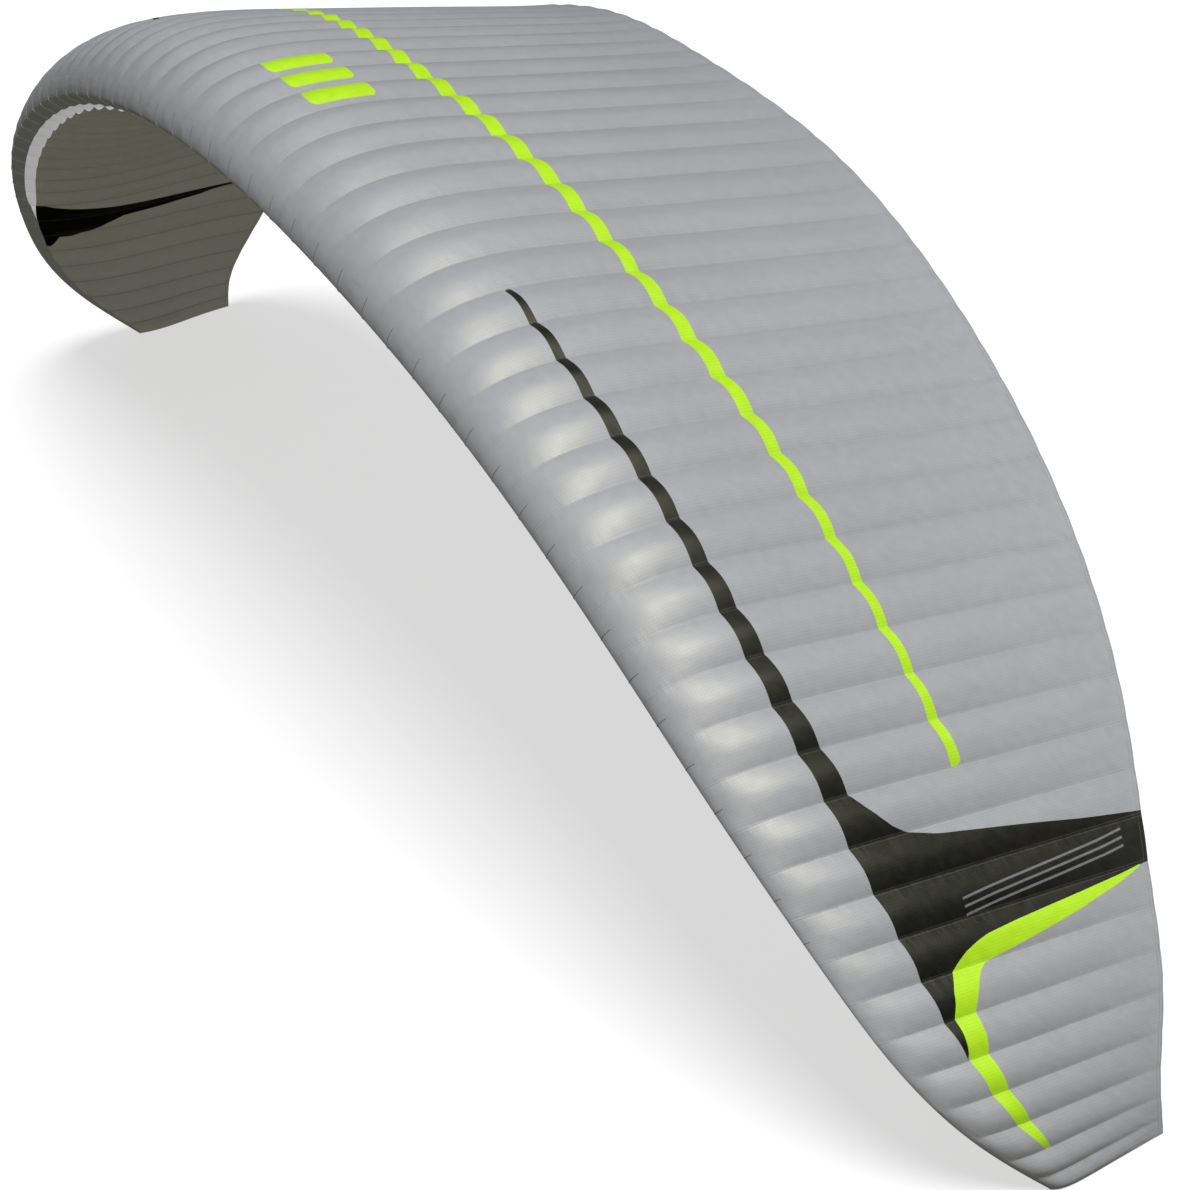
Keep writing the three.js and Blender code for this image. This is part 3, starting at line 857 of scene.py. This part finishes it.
floor_mesh = bpy.data.meshes.new("ground")
corners = [(x * FLOOR_HALF, y * FLOOR_HALF, -FLOOR_BELOW) for x, y in ((-1, -1), (1, -1), (1, 1), (-1, 1))]
floor_mesh.from_pydata(corners, [], [(0, 1, 2, 3)])
floor_mesh.materials.append(pale_floor)
ground = bpy.data.objects.new("ground", floor_mesh)
bpy.context.scene.collection.objects.link(ground)
# The floor takes the light and the shadow, and throws none back on to the wing.
ground.visible_diffuse = False
ground.visible_glossy = False

SUN_FROM = np.array([0.42, -0.06, 0.905])
SUN_STRENGTH = 2.8
SUN_WIDTH = 0.45  # radians
sun_data = bpy.data.lights.new("key", "SUN")
sun_data.energy = SUN_STRENGTH
sun_data.angle = SUN_WIDTH
sun = bpy.data.objects.new("key", sun_data)
bpy.context.scene.collection.objects.link(sun)


def aim(target, away):
    """Turns a light so that it shines against the direction given."""
    z = away / np.linalg.norm(away)
    x = np.cross([0, 0, 1.0], z)
    x /= np.linalg.norm(x)
    y = np.cross(z, x)
    target.matrix_world = Matrix(np.stack([x, y, z], 1).tolist()).to_4x4()


aim(sun, SUN_FROM)

# The sky is dim: a little cooler overhead, and warmer below the horizon.
world = bpy.data.worlds.new("studio")
bpy.context.scene.world = world
world.use_nodes = True
world.cycles_visibility.glossy = False  # the sky lights the cloth but isn't mirrored in it
sky = world.node_tree
height = sky.nodes.new("ShaderNodeSeparateXYZ")
sky.links.new(sky.nodes.new("ShaderNodeTexCoord").outputs["Generated"], height.inputs[0])
level = sky.nodes.new("ShaderNodeMapRange")
level.inputs["From Min"].default_value = -1
sky.links.new(height.outputs[2], level.inputs["Value"])
bands = sky.nodes.new("ShaderNodeValToRGB")
sky.links.new(level.outputs[0], bands.inputs[0])
sky.links.new(bands.outputs[0], sky.nodes["Background"].inputs["Color"])
SKY = [
    (0.0, (0.23, 0.23, 0.184)),
    (0.47, (0.24, 0.24, 0.195)),
    (0.53, (0.22, 0.22, 0.22)),
    (1.0, (0.215, 0.22, 0.238)),
]
ramp = bands.color_ramp.elements
while len(ramp) < len(SKY):
    ramp.new(0.5)
for stop, (at, colour) in zip(ramp, SKY):
    stop.position = at
    stop.color = (*colour, 1)

# The camera's place before the shift to the solids' origin, and its turn in radians. They, the lens and the
# shift come from the same fit as SECTIONS.
CAMERA_PLACE = np.array([14.5129, -5.0848, 9.6848])
CAMERA_ROUND, CAMERA_UP, CAMERA_ROLL = 1.13976, 0.54556, -0.12212
LENS, SENSOR = 119.688, 36.0
CAMERA_SHIFT = (-0.01864, 0.03952)

away = np.array([
    math.sin(CAMERA_ROUND) * math.cos(CAMERA_UP),
    -math.cos(CAMERA_ROUND) * math.cos(CAMERA_UP),
    math.sin(CAMERA_UP),
])
right = np.cross(-away, [0, 0, 1])
right /= np.linalg.norm(right)
up = np.cross(right, -away)
roll_cos, roll_sin = math.cos(CAMERA_ROLL), math.sin(CAMERA_ROLL)
right, up = right * roll_cos + up * roll_sin, up * roll_cos - right * roll_sin
turned = np.stack([right, up, away], 1)
place = CAMERA_PLACE + SHIFT
camera_data = bpy.data.cameras.new("camera")
camera_data.sensor_fit = "HORIZONTAL"
camera_data.sensor_width = SENSOR
camera_data.lens = LENS
camera_data.shift_x, camera_data.shift_y = CAMERA_SHIFT
camera_data.clip_end = 500
camera = bpy.data.objects.new("camera", camera_data)
bpy.context.scene.collection.objects.link(camera)
matrix = Matrix(turned.tolist()).to_4x4()
matrix.translation = place.tolist()
camera.matrix_world = matrix
bpy.context.scene.camera = camera
bpy.context.scene.view_settings.view_transform = "Standard"

bpy.context.view_layer.update()
